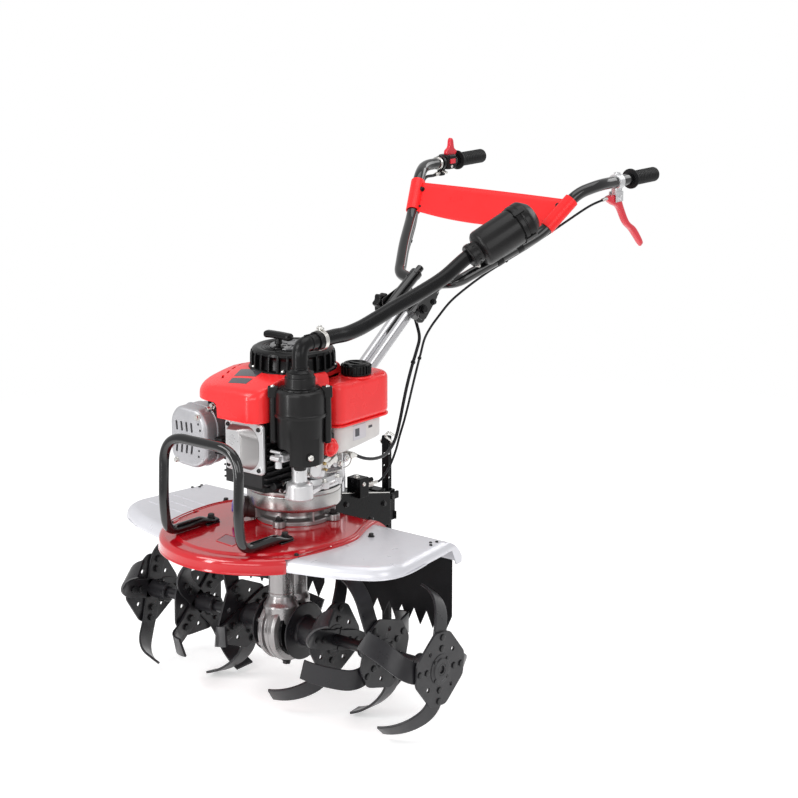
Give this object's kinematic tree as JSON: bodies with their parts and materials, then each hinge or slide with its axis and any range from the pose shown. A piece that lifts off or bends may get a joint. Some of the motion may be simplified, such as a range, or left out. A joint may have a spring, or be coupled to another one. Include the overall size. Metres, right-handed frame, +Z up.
{
  "type": "rotary tiller",
  "caption": "Walk-behind rotary tiller: upright engine over a worm gearbox, curved tine blades under a winged deck, front bumper hoop and a tilting forked handlebar.",
  "frame": {"origin": "on the ground under the middle of the overall box", "axes": "+Z up, +Y to the rear where the operator walks, +X to the operator's left, along the tine axle"},
  "size_m": [0.796, 1.242, 1.048],
  "materials": {
    "black_paint": "gloss black enamel",
    "black_plastic": "moulded black plastic",
    "blade_steel": "satin black enamel over forged steel",
    "blue_plastic": "moulded blue knob",
    "bright_tube": "plated tube",
    "cable_sheath": "cable sheath",
    "cast_aluminium": "bare die casting",
    "engine_casting": "black painted casting",
    "flap_rubber": "cut rubber sheet",
    "grey_paint": "silver-grey enamel",
    "grip_rubber": "moulded grip",
    "hose_rubber": "smooth hose",
    "muffler_steel": "stamped bright steel",
    "red_paint": "gloss red enamel",
    "red_plastic": "moulded red plastic",
    "silver_casting": "bright die casting",
    "tank_plastic": "translucent white plastic"
  },
  "bodies": {
    "root": {"bumper_hoop": "black_paint", "carburettor": "silver_casting", "clutch_housing": "cast_aluminium", "deck": "red_paint", "engine_base": "silver_casting", "engine_block": "engine_casting", "engine_shroud": "red_plastic", "fuel_cap": "black_plastic", "fuel_tank": "tank_plastic", "gearbox_housing": "cast_aluminium", "handle_column": "bright_tube", "head_cover": "silver_casting", "intake_box": "black_plastic", "intake_elbow": "black_plastic", "mud_flap_left": "flap_rubber", "mud_flap_right": "flap_rubber", "muffler": "muffler_steel", "oil_filler": "blue_plastic", "primer_knob": "red_plastic", "rear_bracket": "black_paint", "recoil_starter": "black_plastic", "starter_handle": "black_plastic", "tank_shroud": "red_plastic", "wing_left": "grey_paint", "wing_right": "grey_paint"},
    "tine_rotor": {"tine_axle": "blade_steel", "tine_set_left_inner": "blade_steel", "tine_set_left_middle": "blade_steel", "tine_set_left_outer": "blade_steel", "tine_set_right_inner": "blade_steel", "tine_set_right_middle": "blade_steel", "tine_set_right_outer": "blade_steel"},
    "handlebar": {"clutch_cable": "cable_sheath", "clutch_lever": "red_plastic", "column_knob": "black_plastic", "cross_panel": "red_paint", "filter_canister": "black_plastic", "grip_left": "grip_rubber", "grip_right": "grip_rubber", "handlebar_left": "black_paint", "handlebar_right": "black_paint", "intake_hose": "hose_rubber", "throttle_cable": "cable_sheath", "throttle_switch": "red_plastic"},
    "drag_stake": {"drag_stake": "black_paint", "stake_pin": "bright_tube"}
  },
  "joints": [
    {"name": "tine_rotor_spin", "type": "hinge", "parent": "root", "child": "tine_rotor", "pos_m": [0, -0.34, 0.152], "axis": [1, 0, 0], "continuous": true},
    {"name": "handlebar_tilt", "type": "hinge", "parent": "root", "child": "handlebar", "pos_m": [0, 0.039, 0.757], "axis": [1, 0, 0], "range_deg": [-18, 22], "deforming": ["intake_hose", "throttle_cable", "clutch_cable"]},
    {"name": "drag_stake_slide", "type": "slide", "parent": "root", "child": "drag_stake", "axis": [0, 0, 1], "range_m": [0, 0.1]}
  ]
}
